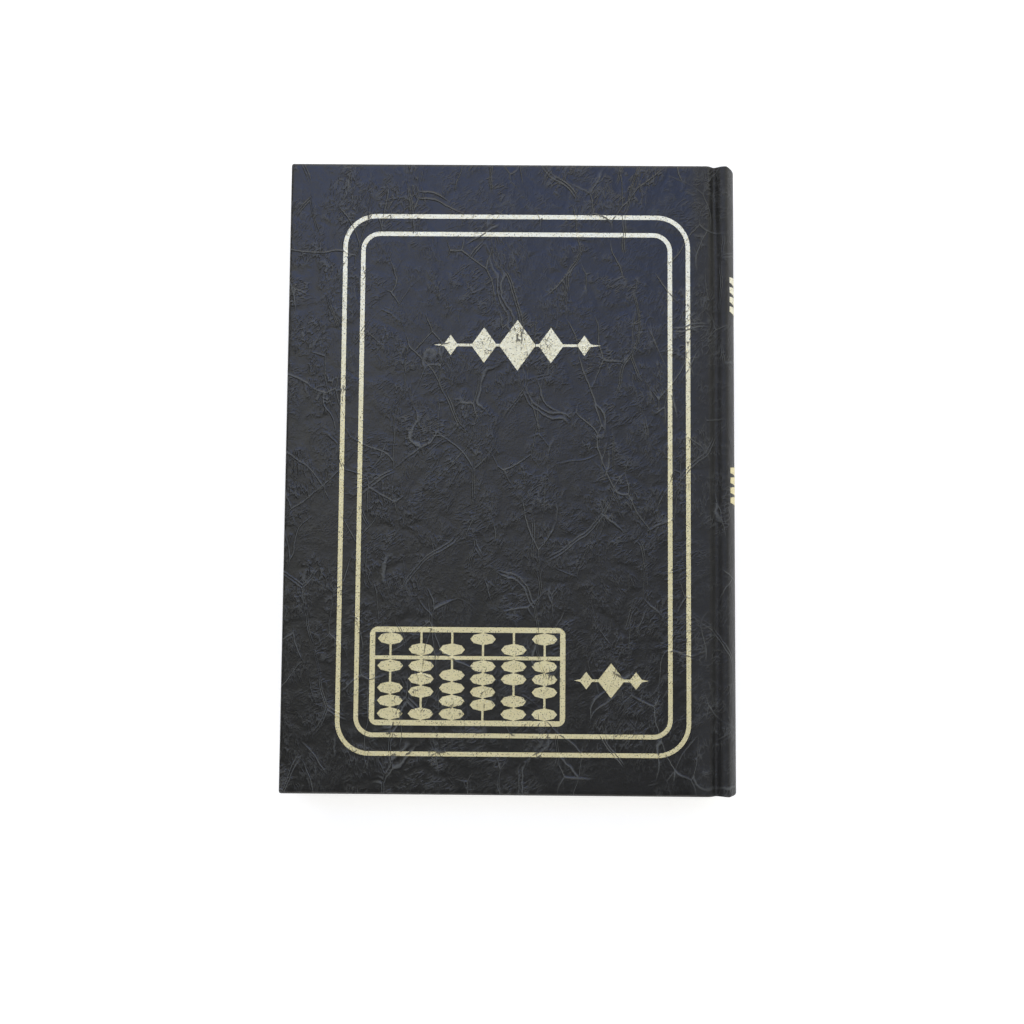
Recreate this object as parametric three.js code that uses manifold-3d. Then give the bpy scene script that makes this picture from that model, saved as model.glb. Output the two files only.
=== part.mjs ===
// A case-bound accounting ledger, closed and lying on its back cover.
// Millimetres, +Z up. The rounded spine is at +X, the head of the book at +Y.
// The origin is under the middle of the book, on the face that it lies on.

import * as THREE from 'three';
import { mergeVertices } from 'three/addons/utils/BufferGeometryUtils.js';
import Module from 'manifold-3d';

const wasm = await Module();
wasm.setup();

// Leaves and their folded gatherings
const leafWidth = 164.5;
const leafHeight = 235;
const sectionCount = 10;
const sectionThickness = 1.38;
const sectionAir = 0.12;
const paperThickness = 0.15;

// Boards and their covering
const boardThickness = 2;
const clothThickness = 0.4;
const turnInWidth = 15;
const glueLine = 0.1;
const coverAir = 0.1;
const foreSquare = 3;
const headSquare = 3;
const cornerRadius = 1.2;

// The joint beside the spine
const jointWidth = 6.6;
const grooveFromCrest = 3.4;
const crestDrop = 0.3;
const clothSplit = 0.35;
const endpaperFold = 1.2;
const paperEase = 1;

// The rounded spine
const spineRise = 4.2;
const inlayThickness = 0.8;
const inlayShortfall = 1.2;
const spineHollow = 0.25;
const liningThickness = 0.25;
const liningShortfall = 2;
const mullThickness = 0.25;
const mullClearance = 2.6;
const mullFlapWidth = 25;

// Sewing and the bands at head and tail
const stitchCount = 5;
const stitchInset = 21.5;
const threadDiameter = 0.5;
const stitchSlotWidth = 2;
const stitchSlotDepth = 0.8;
const beadDiameter = 1.5;
const beadClearance = 0.15;
const bandGap = 7;

// Gold foil on the front cover, placed from the edges of the case
const foilThickness = 0.05;
const foilStand = 0.02;
const borderFromFore = 21.6;
const borderFromSpine = 19.3;
const borderFromHead = 20.8;
const borderFromTail = 15.2;
const borderLine = 1.7;
const borderSpacing = 6.9;
const borderOuterRadius = 12;
const borderInnerRadius = 6.5;
const titleFromFore = 88.1;
const titleFromHead = 70.9;
const titleWidth = 64;
const titleHeight = 19.6;
const flourishFromFore = 124.2;
const flourishFromTail = 42.9;
const flourishWidth = 28;
const flourishHeight = 13;
const linkBar = 1;
const lozengeWidthShare = 0.55;

// A counting frame in foil, low on the front cover
const frameFromFore = 33.4;
const frameFromTail = 25.7;
const frameRadius = 3;
const frameRail = 2;
const rodCount = 6;
const rodPitch = 11.6;
const rodWidth = 0.8;
const beamWidth = 1.4;
const beadWidth = 9.6;
const beadHeight = 4.5;
const beadSpace = 0.3;
const upperTravel = 4;
const lowerTravel = 3.4;
const lowerBeads = 4;
const raisedBeads = [1, 3, 0, 4, 2, 3];
const droppedUpperBeads = [0, 1, 1, 0, 1, 0];

// Foil lozenges on the spine
const spineLozengeHeight = 4.4;
const spineLozengeWidth = 18.4;
const spineLozengeEnd = 2.1;
const spineLozengeOverlap = 0.6;
const spineLozengeSpare = 0.02;
const spineUpperFromHead = 50.1;
const spineUpperCount = 4;
const spineLowerFromHead = 123.9;
const spineLowerCount = 4;

// How finely round stretches are divided
const arcSteps = 16;
const grooveSteps = 14;
const foldSteps = 6;
const threadSides = 6;
const beadSides = 12;
const beadSteps = 4;
const overshoot = 10;

// Levels below a cover's outer face
const boardTop = clothThickness + glueLine;
const boardFace = boardTop + boardThickness;
const gluedFace = boardFace + glueLine;
const turnInFace = gluedFace + clothThickness;
const mullFace = gluedFace + mullThickness;
const coverFace = turnInFace + glueLine + paperThickness;
const flyleafTop = coverFace + coverAir;
const blockTop = flyleafTop + paperThickness + sectionAir;

// Whole thickness and the spine's layers
const sectionPitch = sectionThickness + sectionAir;
const blockThickness = sectionCount * sectionPitch - sectionAir;
const bookThickness = 2 * blockTop + blockThickness;
const middle = bookThickness / 2;
const crestHalf = middle - crestDrop;
const spineRadius = (crestHalf ** 2 + spineRise ** 2) / (2 * spineRise);
const spineCentre = spineRise - spineRadius;
const inlayRadius = spineRadius - clothThickness - glueLine;
const spineTurnInRadius = inlayRadius - inlayThickness - glueLine;
const liningRadius = spineTurnInRadius - clothThickness - spineHollow;
const mullRadius = liningRadius - liningThickness - glueLine;
const backRadius = mullRadius - mullThickness - glueLine;
const crestAngle = Math.asin(crestHalf / spineRadius);
const backAngle = Math.asin(blockThickness / 2 / backRadius);

// Extents of the case, with the crest of the spine at x = 0
const shoulder = backAt(middle + blockThickness / 2);
const leafFore = shoulder - leafWidth;
const caseFore = leafFore - foreSquare;
const caseHalf = leafHeight / 2 + headSquare;
const boardFore = caseFore + boardTop;
const boardHalf = caseHalf - boardTop;
const spineReach = spineRise + foilStand + foilThickness;
const crestX = -(caseFore + spineReach) / 2;
const grooveDepth = boardFace - clothThickness;
const mullHalf = caseHalf - clothThickness - turnInWidth - mullClearance;

// Colours
const leatherette = new THREE.MeshStandardMaterial({ color: 0x16181b, roughness: 0.45, metalness: 0 });
const goldFoil = new THREE.MeshStandardMaterial({ color: 0xd9cf9f, roughness: 0.35, metalness: 0.9 });
const greyBoard = new THREE.MeshStandardMaterial({ color: 0x8b8170, roughness: 0.95, metalness: 0 });
const endpaper = new THREE.MeshStandardMaterial({ color: 0xf1eee4, roughness: 0.9, metalness: 0 });
const ledgerPaper = new THREE.MeshStandardMaterial({ color: 0xf4efe0, roughness: 0.9, metalness: 0 });
const mullCloth = new THREE.MeshStandardMaterial({ color: 0xe3dcc8, roughness: 1, metalness: 0 });
const liningPaper = new THREE.MeshStandardMaterial({ color: 0xa98f66, roughness: 0.95, metalness: 0 });
const linenThread = new THREE.MeshStandardMaterial({ color: 0xf5f3ea, roughness: 0.8, metalness: 0 });
const bandCotton = new THREE.MeshStandardMaterial({ color: 0xe8e4d6, roughness: 0.85, metalness: 0 });

// A closed geometry as a solid that can be joined and cut
function solidOf(geometry) {
  const bare = geometry.clone();
  bare.deleteAttribute('normal');
  bare.deleteAttribute('uv');
  const merged = mergeVertices(bare, 1e-5);
  return new wasm.Manifold(new wasm.Mesh({
    numProp: 3,
    vertProperties: Float32Array.from(merged.attributes.position.array),
    triVerts: Uint32Array.from(merged.index.array),
  }));
}

function geometryOf(solid) {
  const { vertProperties, triVerts } = solid.getMesh();
  const geometry = new THREE.BufferGeometry();
  geometry.setAttribute('position', new THREE.BufferAttribute(vertProperties, 3));
  geometry.setIndex(new THREE.BufferAttribute(triVerts, 1));
  geometry.computeVertexNormals();
  return geometry;
}

function joined(solids) {
  return solids.reduce((whole, solid) => whole.add(solid));
}

// An outline of [x, z] points drawn out along Y
function slab(outline, fromY, toY) {
  const settings = { depth: toY - fromY, bevelEnabled: false };
  const geometry = new THREE.ExtrudeGeometry(polygon(outline), settings);
  geometry.rotateX(Math.PI / 2);
  geometry.translate(0, toY, 0);
  return solidOf(geometry);
}

// A plan shape given a thickness above a level
function plate(shape, level, thickness) {
  const settings = { depth: thickness, bevelEnabled: false, curveSegments: foldSteps };
  const geometry = new THREE.ExtrudeGeometry(shape, settings);
  geometry.translate(0, 0, level);
  return solidOf(geometry);
}

function rectangle(left, bottom, right, top) {
  return polygon([[left, bottom], [right, bottom], [right, top], [left, top]]);
}

function roundedRectangle(left, bottom, right, top, radius) {
  const shape = new THREE.Shape();
  shape.moveTo(left + radius, bottom);
  shape.absarc(right - radius, bottom + radius, radius, -Math.PI / 2, 0);
  shape.absarc(right - radius, top - radius, radius, 0, Math.PI / 2);
  shape.absarc(left + radius, top - radius, radius, Math.PI / 2, Math.PI);
  shape.absarc(left + radius, bottom + radius, radius, Math.PI, 1.5 * Math.PI);
  return shape;
}

function polygon(points) {
  return new THREE.Shape(points.map(([x, y]) => new THREE.Vector2(x, y)));
}

// The back of the sewn leaves: its x at a height z above the table
function backAt(z, radius = backRadius) {
  return spineCentre + Math.sqrt(radius ** 2 - (z - middle) ** 2);
}

// Points [x, z] on a circle about the spine's centre line
function spineArc(radius, halfAngle) {
  return Array.from({ length: arcSteps + 1 }, (_, step) => {
    const angle = halfAngle * (2 * step / arcSteps - 1);
    return [spineCentre + radius * Math.cos(angle), middle + radius * Math.sin(angle)];
  });
}

// A layer of the spine, from its outer radius inwards
function spineLayer(radius, thickness, halfAngle, fromY, toY) {
  const inner = spineArc(radius - thickness, halfAngle).reverse();
  return slab([...spineArc(radius, halfAngle), ...inner], fromY, toY);
}

// How far the joint's groove lies below the board's outer face
function grooveAt(x) {
  if (x < -grooveFromCrest) {
    const share = (x + jointWidth) / (jointWidth - grooveFromCrest);
    return grooveDepth * (1 - Math.cos(Math.PI * share)) / 2;
  }
  const share = (x + grooveFromCrest) / grooveFromCrest;
  return grooveDepth + (crestDrop - grooveDepth) * (1 - Math.cos(Math.PI * share)) / 2;
}

// The covering over the joint, as a band of even thickness
function jointCovering() {
  const start = -jointWidth;
  const span = jointWidth - clothSplit;
  const outer = Array.from({ length: grooveSteps + 1 }, (_, step) => {
    const x = start + span * step / grooveSteps;
    return [x, -grooveAt(x)];
  });
  const inner = outer.map(([x, z], step) => {
    const before = outer[Math.max(step - 1, 0)];
    const after = outer[Math.min(step + 1, grooveSteps)];
    const slope = step === 0 ? 0 : (after[1] - before[1]) / (after[0] - before[0]);
    const length = Math.hypot(1, slope);
    return [x + clothThickness * slope / length, z - clothThickness / length];
  });
  const lap = start - overshoot;
  return slab([[lap, 0], ...outer, ...inner.reverse(), [lap, -clothThickness]], -caseHalf, caseHalf);
}

// Leatherette over a board, turned in at the fore edge, head and tail
function coveringSolid() {
  const outside = plate(roundedRectangle(caseFore, -caseHalf, overshoot, caseHalf, cornerRadius),
    -turnInFace, turnInFace);
  const wrap = outside.subtract(plate(
    rectangle(-jointWidth, -caseHalf - overshoot, 2 * overshoot, caseHalf + overshoot),
    -2 * turnInFace, 3 * turnInFace));
  const foreWall = caseFore + clothThickness;
  const endWall = caseHalf - clothThickness;
  const pocket = plate(rectangle(foreWall, -endWall, overshoot, endWall),
    -gluedFace, gluedFace - clothThickness);
  const window = plate(
    rectangle(foreWall + turnInWidth, turnInWidth - endWall, overshoot, endWall - turnInWidth),
    -2 * turnInFace, 2 * turnInFace - boardFace);
  return wrap.subtract(pocket).subtract(window).add(jointCovering());
}

function boardSolid() {
  const shape = roundedRectangle(boardFore, -boardHalf, -jointWidth, boardHalf, cornerRadius / 2);
  return plate(shape, -boardFace, boardThickness);
}

function mullFlapSolid() {
  const shape = rectangle(-jointWidth - mullFlapWidth, -mullHalf, -endpaperFold, mullHalf);
  return plate(shape, -mullFace, mullThickness);
}

// A sheet of even thickness over a grid, at a depth for each grid point
function sheetGeometry(xs, ys, depthAt, thickness) {
  const columns = xs.length;
  const layer = columns * ys.length;
  const positions = [];
  [0, thickness].forEach((drop) => {
    ys.forEach((y, row) => xs.forEach((x, column) => {
      positions.push(x, y, -depthAt(column, row) - drop);
    }));
  });
  const faces = [];
  const quad = (a, b, c, d) => faces.push(a, b, c, a, c, d);
  for (let row = 0; row + 1 < ys.length; row += 1) {
    for (let column = 0; column + 1 < columns; column += 1) {
      const a = row * columns + column;
      quad(a, a + 1, a + columns + 1, a + columns);
      quad(layer + a, layer + a + columns, layer + a + columns + 1, layer + a + 1);
    }
  }
  const last = (ys.length - 1) * columns;
  for (let column = 0; column + 1 < columns; column += 1) {
    quad(layer + column, layer + column + 1, column + 1, column);
    quad(last + column, last + column + 1, layer + last + column + 1, layer + last + column);
  }
  for (let row = 0; row + 1 < ys.length; row += 1) {
    const left = row * columns;
    const right = left + columns - 1;
    quad(left, left + columns, layer + left + columns, layer + left);
    quad(layer + right, layer + right + columns, right + columns, right);
  }
  const geometry = new THREE.BufferGeometry();
  geometry.setAttribute('position', new THREE.Float32BufferAttribute(positions, 3));
  geometry.setIndex(faces);
  geometry.computeVertexNormals();
  return geometry;
}

// The endpaper's half that is pasted down over the turn-ins, the board and the mull
function pastedownGeometry() {
  const foreStep = caseFore + clothThickness + turnInWidth + glueLine;
  const mullStep = -jointWidth - mullFlapWidth - glueLine;
  const endStep = caseHalf - clothThickness - turnInWidth - glueLine;
  const half = leafHeight / 2;
  const xs = [leafFore, foreStep, foreStep + paperEase, mullStep - paperEase, mullStep, -endpaperFold];
  const ys = [-half, -endStep, paperEase - endStep, endStep - paperEase, endStep, half];
  const depthAt = (column, row) => {
    const overTurnIn = column < 2 || row < 2 || row > 3;
    if (overTurnIn) return turnInFace + glueLine;
    return column > 3 ? mullFace + glueLine : gluedFace;
  };
  return sheetGeometry(xs, ys, depthAt, paperThickness);
}

function flyleafSolid() {
  const shape = rectangle(leafFore, -leafHeight / 2, shoulder, leafHeight / 2);
  return plate(shape, -flyleafTop - paperThickness, paperThickness);
}

// Where the sewing crosses the back, evenly spread from tail to head
function stitchStations() {
  const reach = leafHeight / 2 - stitchInset;
  return Array.from({ length: stitchCount }, (_, place) => reach * (2 * place / (stitchCount - 1) - 1));
}

// Slots in the folds that take the sewing
function stitchSlots() {
  const slotAngle = backAngle + stitchSlotDepth / backRadius;
  return joined(stitchStations().map((station) => spineLayer(
    backRadius + stitchSlotDepth, 2 * stitchSlotDepth, slotAngle,
    station - stitchSlotWidth / 2, station + stitchSlotWidth / 2)));
}

// A folded gathering of leaves: round at its fold, slanted at the fore edge
function sectionSolid(index, slots) {
  const bottom = blockTop + (sectionCount - index) * sectionPitch;
  const top = bottom + sectionThickness;
  const radius = sectionThickness / 2;
  const foldMiddle = bottom + radius;
  const foldCentre = backAt(foldMiddle, backRadius - radius);
  const outline = [[backAt(bottom) - leafWidth, bottom]];
  for (let step = 0; step <= foldSteps; step += 1) {
    const angle = Math.PI * (step / foldSteps - 0.5);
    outline.push([foldCentre + radius * Math.cos(angle), foldMiddle + radius * Math.sin(angle)]);
  }
  outline.push([backAt(top) - leafWidth, top]);
  return slab(outline, -leafHeight / 2, leafHeight / 2).subtract(slots);
}

// A round cord bent to the spine's curve
function spineCord(radius, diameter, halfAngle, y, sides) {
  const points = spineArc(radius, halfAngle).map(([x, z]) => new THREE.Vector3(x, y, z));
  const section = new THREE.Shape();
  section.absarc(0, 0, diameter / 2, 0, 2 * Math.PI);
  const settings = {
    steps: arcSteps,
    curveSegments: sides / 2,
    bevelEnabled: false,
    extrudePath: new THREE.CatmullRomCurve3(points),
  };
  return solidOf(new THREE.ExtrudeGeometry(section, settings));
}

function stitchSolid(station) {
  const radius = backRadius - stitchSlotDepth / 2;
  const halfAngle = Math.asin((blockThickness - sectionThickness) / 2 / radius);
  return spineCord(radius, threadDiameter, halfAngle, station, threadSides);
}

// A band: a bead over the leaves' ends and a skirt glued to their backs
function bandSolid(end) {
  const leafEnd = leafHeight / 2;
  const beadY = leafEnd + beadClearance + beadDiameter / 2;
  const radius = mullRadius - beadDiameter / 2 + mullThickness;
  const halfAngle = Math.asin((blockThickness / 2 - beadClearance) / mullRadius);
  const cord = spineCord(radius, beadDiameter, halfAngle, end * beadY, beadSides);
  const skirtEnds = [end * (mullHalf + bandGap), end * beadY].sort((a, b) => a - b);
  return cord.add(spineLayer(mullRadius, mullThickness, halfAngle, ...skirtEnds));
}

function inlaySolid() {
  const halfAngle = crestAngle - inlayShortfall / inlayRadius;
  return spineLayer(inlayRadius, inlayThickness, halfAngle, -boardHalf, boardHalf);
}

// Leatherette over the spine, folded in over both ends of its stiffener
function spineCoveringSolid() {
  const halfAngle = crestAngle - clothSplit / spineRadius;
  const inlayAngle = crestAngle - inlayShortfall / inlayRadius;
  const wrapDepth = spineRadius - spineTurnInRadius + clothThickness;
  const outside = spineLayer(spineRadius, clothThickness, halfAngle, -caseHalf, caseHalf);
  const turnIns = [-1, 1].map((end) => {
    const wall = [end * (caseHalf - clothThickness), end * caseHalf].sort((a, b) => a - b);
    const lap = [end * (caseHalf - turnInWidth), end * caseHalf].sort((a, b) => a - b);
    return spineLayer(spineRadius, wrapDepth, inlayAngle, ...wall)
      .add(spineLayer(spineTurnInRadius, clothThickness, inlayAngle, ...lap));
  });
  return joined([outside, ...turnIns]);
}

function foilPlate(shape) {
  return plate(shape, foilStand, foilThickness);
}

// One rule of the border, set in from the border's outer line
function borderSolid(inset, radius) {
  const left = caseFore + borderFromFore + inset;
  const right = spineReach - borderFromSpine - inset;
  const bottom = borderFromTail - caseHalf + inset;
  const top = caseHalf - borderFromHead - inset;
  const half = borderLine / 2;
  const shape = roundedRectangle(left - half, bottom - half, right + half, top + half, radius + half);
  shape.holes.push(roundedRectangle(left + half, bottom + half, right - half, top - half, radius - half));
  return foilPlate(shape);
}

// A row of lozenges on a thin bar, largest in the middle
function lozengeRow(x, y, width, height, shares) {
  const gap = width / (2 * shares.length - 1);
  const places = shares.map((_, place) => place);
  const row = [...places.slice(1).reverse().map((place) => -place), ...places];
  const side = (sign) => row.flatMap((place) => {
    const share = shares[Math.abs(place)];
    const middleX = x + place * gap;
    const reach = lozengeWidthShare * share * gap * (1 - linkBar / (share * height));
    return [
      [middleX - reach, y + sign * linkBar / 2],
      [middleX, y + sign * share * height / 2],
      [middleX + reach, y + sign * linkBar / 2],
    ];
  });
  const ends = [[x - width / 2, y], [x + width / 2, y]];
  return foilPlate(polygon([ends[0], ...side(-1), ends[1], ...side(1).reverse()]));
}

// One side of a rod from one level up to another, bulging round its beads
function rodSide(x, side, from, to, beadLevels) {
  const limit = Math.acos(rodWidth / beadWidth);
  const edge = x + side * rodWidth / 2;
  const bulges = beadLevels.flatMap((level) => Array.from({ length: beadSteps + 1 }, (_, step) => {
    const angle = limit * (2 * step / beadSteps - 1);
    return [x + side * Math.cos(angle) * beadWidth / 2, level + Math.sin(angle) * beadHeight / 2];
  }));
  return [[edge, from], ...bulges, [edge, to]];
}

// The counting frame: rails, a beam and rods with their beads
function countingFrameSolid() {
  const beadPitch = beadHeight + beadSpace;
  const left = caseFore + frameFromFore;
  const right = left + rodCount * rodPitch + 2 * frameRail;
  const bottom = frameFromTail - caseHalf;
  const deck = bottom + frameRail;
  const beam = deck + lowerBeads * beadPitch + lowerTravel;
  const upperDeck = beam + beamWidth;
  const top = upperDeck + beadPitch + upperTravel + frameRail;
  const halfRail = frameRail / 2;
  const rails = roundedRectangle(left, bottom, right, top, frameRadius);
  rails.holes.push(rectangle(left + frameRail, deck, right - frameRail, top - frameRail));
  const rods = Array.from({ length: rodCount }, (_, rod) => {
    const x = left + frameRail + (rod + 0.5) * rodPitch;
    const raisedFrom = lowerBeads - raisedBeads[rod % raisedBeads.length];
    const dropped = droppedUpperBeads[rod % droppedUpperBeads.length];
    const levels = Array.from({ length: lowerBeads }, (__, place) => (
      deck + (place + 0.5) * beadPitch + (place >= raisedFrom ? lowerTravel : 0)));
    levels.push(upperDeck + beadPitch / 2 + (dropped ? 0 : upperTravel));
    const rightSide = rodSide(x, 1, bottom + halfRail, top - halfRail, levels);
    const leftSide = rodSide(x, -1, bottom + halfRail, top - halfRail, levels);
    return foilPlate(polygon([...rightSide, ...leftSide.reverse()]));
  });
  const bar = foilPlate(rectangle(left + halfRail, beam, right - halfRail, upperDeck));
  return joined([foilPlate(rails), bar, ...rods]);
}

// Lozenges with blunt ends, laid over the curve of the spine
function spineFoilSolid(fromHead, count) {
  const centre = caseHalf - fromHead;
  const step = spineLozengeHeight - spineLozengeOverlap;
  const halfAngle = Math.asin(spineLozengeWidth / 2 / spineRadius) + spineLozengeSpare;
  const halfEnd = spineLozengeEnd / 2;
  const band = spineLayer(spineRadius + foilStand + foilThickness, foilThickness, halfAngle,
    centre - count * spineLozengeHeight, centre + count * spineLozengeHeight);
  const prisms = Array.from({ length: count }, (_, place) => {
    const y = centre + (place - (count - 1) / 2) * step;
    const shape = polygon([
      [middle - spineLozengeWidth / 2, y + halfEnd],
      [middle - spineLozengeWidth / 2, y - halfEnd],
      [middle, y - spineLozengeHeight / 2],
      [middle + spineLozengeWidth / 2, y - halfEnd],
      [middle + spineLozengeWidth / 2, y + halfEnd],
      [middle, y + spineLozengeHeight / 2],
    ]);
    const geometry = new THREE.ExtrudeGeometry(shape, { depth: spineRadius, bevelEnabled: false });
    geometry.rotateY(-Math.PI / 2);
    geometry.translate(spineRadius, 0, 0);
    return solidOf(geometry);
  });
  return band.intersect(joined(prisms));
}

function piece(name, geometry, material) {
  const mesh = new THREE.Mesh(geometry, material);
  mesh.name = name;
  return mesh;
}

// A board, its covering and what is pasted inside it. The group's origin is on the hinge line.
function coverGroup(side) {
  const group = new THREE.Group();
  group.add(piece(`${side}_board`, geometryOf(boardSolid()), greyBoard));
  group.add(piece(`${side}_covering`, geometryOf(coveringSolid()), leatherette));
  group.add(piece(`${side}_mull_flap`, geometryOf(mullFlapSolid()), mullCloth));
  group.add(piece(`${side}_pastedown`, pastedownGeometry(), endpaper));
  group.add(piece(`${side}_flyleaf`, geometryOf(flyleafSolid()), endpaper));
  return group;
}

function addCoverFoil(group) {
  const titleX = caseFore + titleFromFore;
  const titleY = caseHalf - titleFromHead;
  const flourishX = caseFore + flourishFromFore;
  const flourishY = flourishFromTail - caseHalf;
  const title = lozengeRow(titleX, titleY, titleWidth, titleHeight, [1, 0.7, 0.4]);
  const flourish = lozengeRow(flourishX, flourishY, flourishWidth, flourishHeight, [1, 0.5]);
  const outer = borderSolid(0, borderOuterRadius);
  const inner = borderSolid(borderSpacing, borderInnerRadius);
  group.add(piece('foil_border_outer', geometryOf(outer), goldFoil));
  group.add(piece('foil_border_inner', geometryOf(inner), goldFoil));
  group.add(piece('foil_title_ornament', geometryOf(title), goldFoil));
  group.add(piece('foil_corner_flourish', geometryOf(flourish), goldFoil));
  group.add(piece('foil_counting_frame', geometryOf(countingFrameSolid()), goldFoil));
}

function blockGroup() {
  const group = new THREE.Group();
  const slots = stitchSlots();
  for (let index = 1; index <= sectionCount; index += 1) {
    const name = `section_${String(index).padStart(2, '0')}`;
    group.add(piece(name, geometryOf(sectionSolid(index, slots)), ledgerPaper));
  }
  stitchStations().forEach((station, place) => {
    group.add(piece(`stitch_${place + 1}`, geometryOf(stitchSolid(station)), linenThread));
  });
  const liningHalf = leafHeight / 2 - liningShortfall;
  const mull = spineLayer(mullRadius, mullThickness, backAngle, -mullHalf, mullHalf);
  const lining = spineLayer(liningRadius, liningThickness, backAngle, -liningHalf, liningHalf);
  group.add(piece('spine_mull', geometryOf(mull), mullCloth));
  group.add(piece('spine_lining', geometryOf(lining), liningPaper));
  group.add(piece('head_band', geometryOf(bandSolid(1)), bandCotton));
  group.add(piece('tail_band', geometryOf(bandSolid(-1)), bandCotton));
  return group;
}

function spineGroup() {
  const group = new THREE.Group();
  const upper = spineFoilSolid(spineUpperFromHead, spineUpperCount);
  const lower = spineFoilSolid(spineLowerFromHead, spineLowerCount);
  group.add(piece('spine_inlay', geometryOf(inlaySolid()), greyBoard));
  group.add(piece('spine_covering', geometryOf(spineCoveringSolid()), leatherette));
  group.add(piece('foil_spine_upper', geometryOf(upper), goldFoil));
  group.add(piece('foil_spine_lower', geometryOf(lower), goldFoil));
  return group;
}

const frontCover = coverGroup('front');
frontCover.position.z = bookThickness;
addCoverFoil(frontCover);

const backCover = coverGroup('back');
backCover.rotation.x = Math.PI;

const ledger = new THREE.Group();
ledger.position.x = crestX;
ledger.add(frontCover, blockGroup(), spineGroup(), backCover);

export default ledger;
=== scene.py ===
"""The looks of a hardcover accounting ledger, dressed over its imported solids.

The ledger lies on its back cover with the spine to +X, the head to +Y and the front cover up. Sizes are written in
millimetres and become metres where a mesh is made. Across the book, x counts from the crest of the spine, the line
where the covering turns down from the cover to the spine. A height counts from the back cover's outer face, and a
depth from either cover's outer face inwards.
"""

import logging
import math
from dataclasses import dataclass
from enum import Enum
from typing import Any, Callable, Sequence

import bmesh
import bpy
import numpy as np
from mathutils import Euler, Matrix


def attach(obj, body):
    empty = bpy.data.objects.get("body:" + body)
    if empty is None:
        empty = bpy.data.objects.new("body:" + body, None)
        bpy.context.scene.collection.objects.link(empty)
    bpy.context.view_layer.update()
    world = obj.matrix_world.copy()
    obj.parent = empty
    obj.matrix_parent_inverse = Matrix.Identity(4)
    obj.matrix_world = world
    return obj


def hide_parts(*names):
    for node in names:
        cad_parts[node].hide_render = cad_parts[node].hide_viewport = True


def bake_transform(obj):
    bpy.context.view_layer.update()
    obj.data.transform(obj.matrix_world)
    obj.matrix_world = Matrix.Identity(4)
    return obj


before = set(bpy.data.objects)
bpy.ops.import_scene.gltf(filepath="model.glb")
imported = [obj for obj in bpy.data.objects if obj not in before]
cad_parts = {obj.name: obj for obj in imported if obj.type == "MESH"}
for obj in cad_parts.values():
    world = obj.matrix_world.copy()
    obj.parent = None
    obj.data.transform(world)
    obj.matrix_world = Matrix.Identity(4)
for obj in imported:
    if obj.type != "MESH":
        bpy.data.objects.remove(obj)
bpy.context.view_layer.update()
LOG = logging.getLogger("ledger")
REST = "rest"


def metres(millimetres: float) -> float:
    """Turns a length in millimetres into metres."""
    return millimetres / 1000


def smooth_step(value: np.ndarray, low: float, high: float) -> np.ndarray:
    """Rises smoothly from 0 at low to 1 at high."""
    share = np.clip((np.asarray(value, float) - low) / (high - low), 0, 1)
    return share * share * (3 - 2 * share)


def spaced(*spans: tuple[float, float, int]) -> np.ndarray:
    """Even places in each of several spans (from, to, count), one span after another."""
    return np.concatenate([np.linspace(*span) for span in spans])


@dataclass(frozen=True)
class BookSizes:
    """The sizes that the covers, the spine and the leaves share, in millimetres."""

    crest: float = 82.0453
    thickness: float = 22.12
    half_height: float = 120.5
    fore: float = -168.36
    leaf_fore: float = -165.36
    leaf_half: float = 117.5
    leaf_width: float = 164.5
    joint: float = 6.6
    groove: float = 3.4
    groove_depth: float = 2.1
    crest_drop: float = 0.3
    spine_radius: float = 15.886
    spine_centre: float = -11.686
    back_radius: float = 13.136
    crest_angle: float = 0.744
    shoulder: float = -0.86
    turn_in: float = 15.0
    wall: float = 3.0
    spine_wall: float = 1.8
    joint_wall: float = 0.9
    block_top: float = 3.62
    section_pitch: float = 1.5
    section_thickness: float = 1.38
    section_count: int = 10

    @property
    def middle(self) -> float:
        """Height of the middle of the spine."""
        return self.thickness / 2

    def back_at(self, height: float, radius: float) -> float:
        """X of a circle about the spine's centre line, at a height."""
        return self.spine_centre + math.sqrt(radius**2 - (height - self.middle) ** 2)


BOOK = BookSizes()


class Side(Enum):
    """The two covers."""

    FRONT = "front"
    BACK = "back"

    def height(self, depth: np.ndarray) -> np.ndarray:
        """Height of a depth under this cover's outer face."""
        return BOOK.thickness - depth if self is Side.FRONT else depth

    @property
    def body(self) -> str:
        """The body that this cover moves with."""
        return f"{self.value}_cover"


class Place(Enum):
    """What a finish reads its pattern from."""

    OBJECT = "object"
    REST = "rest"


# Node trees


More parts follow.
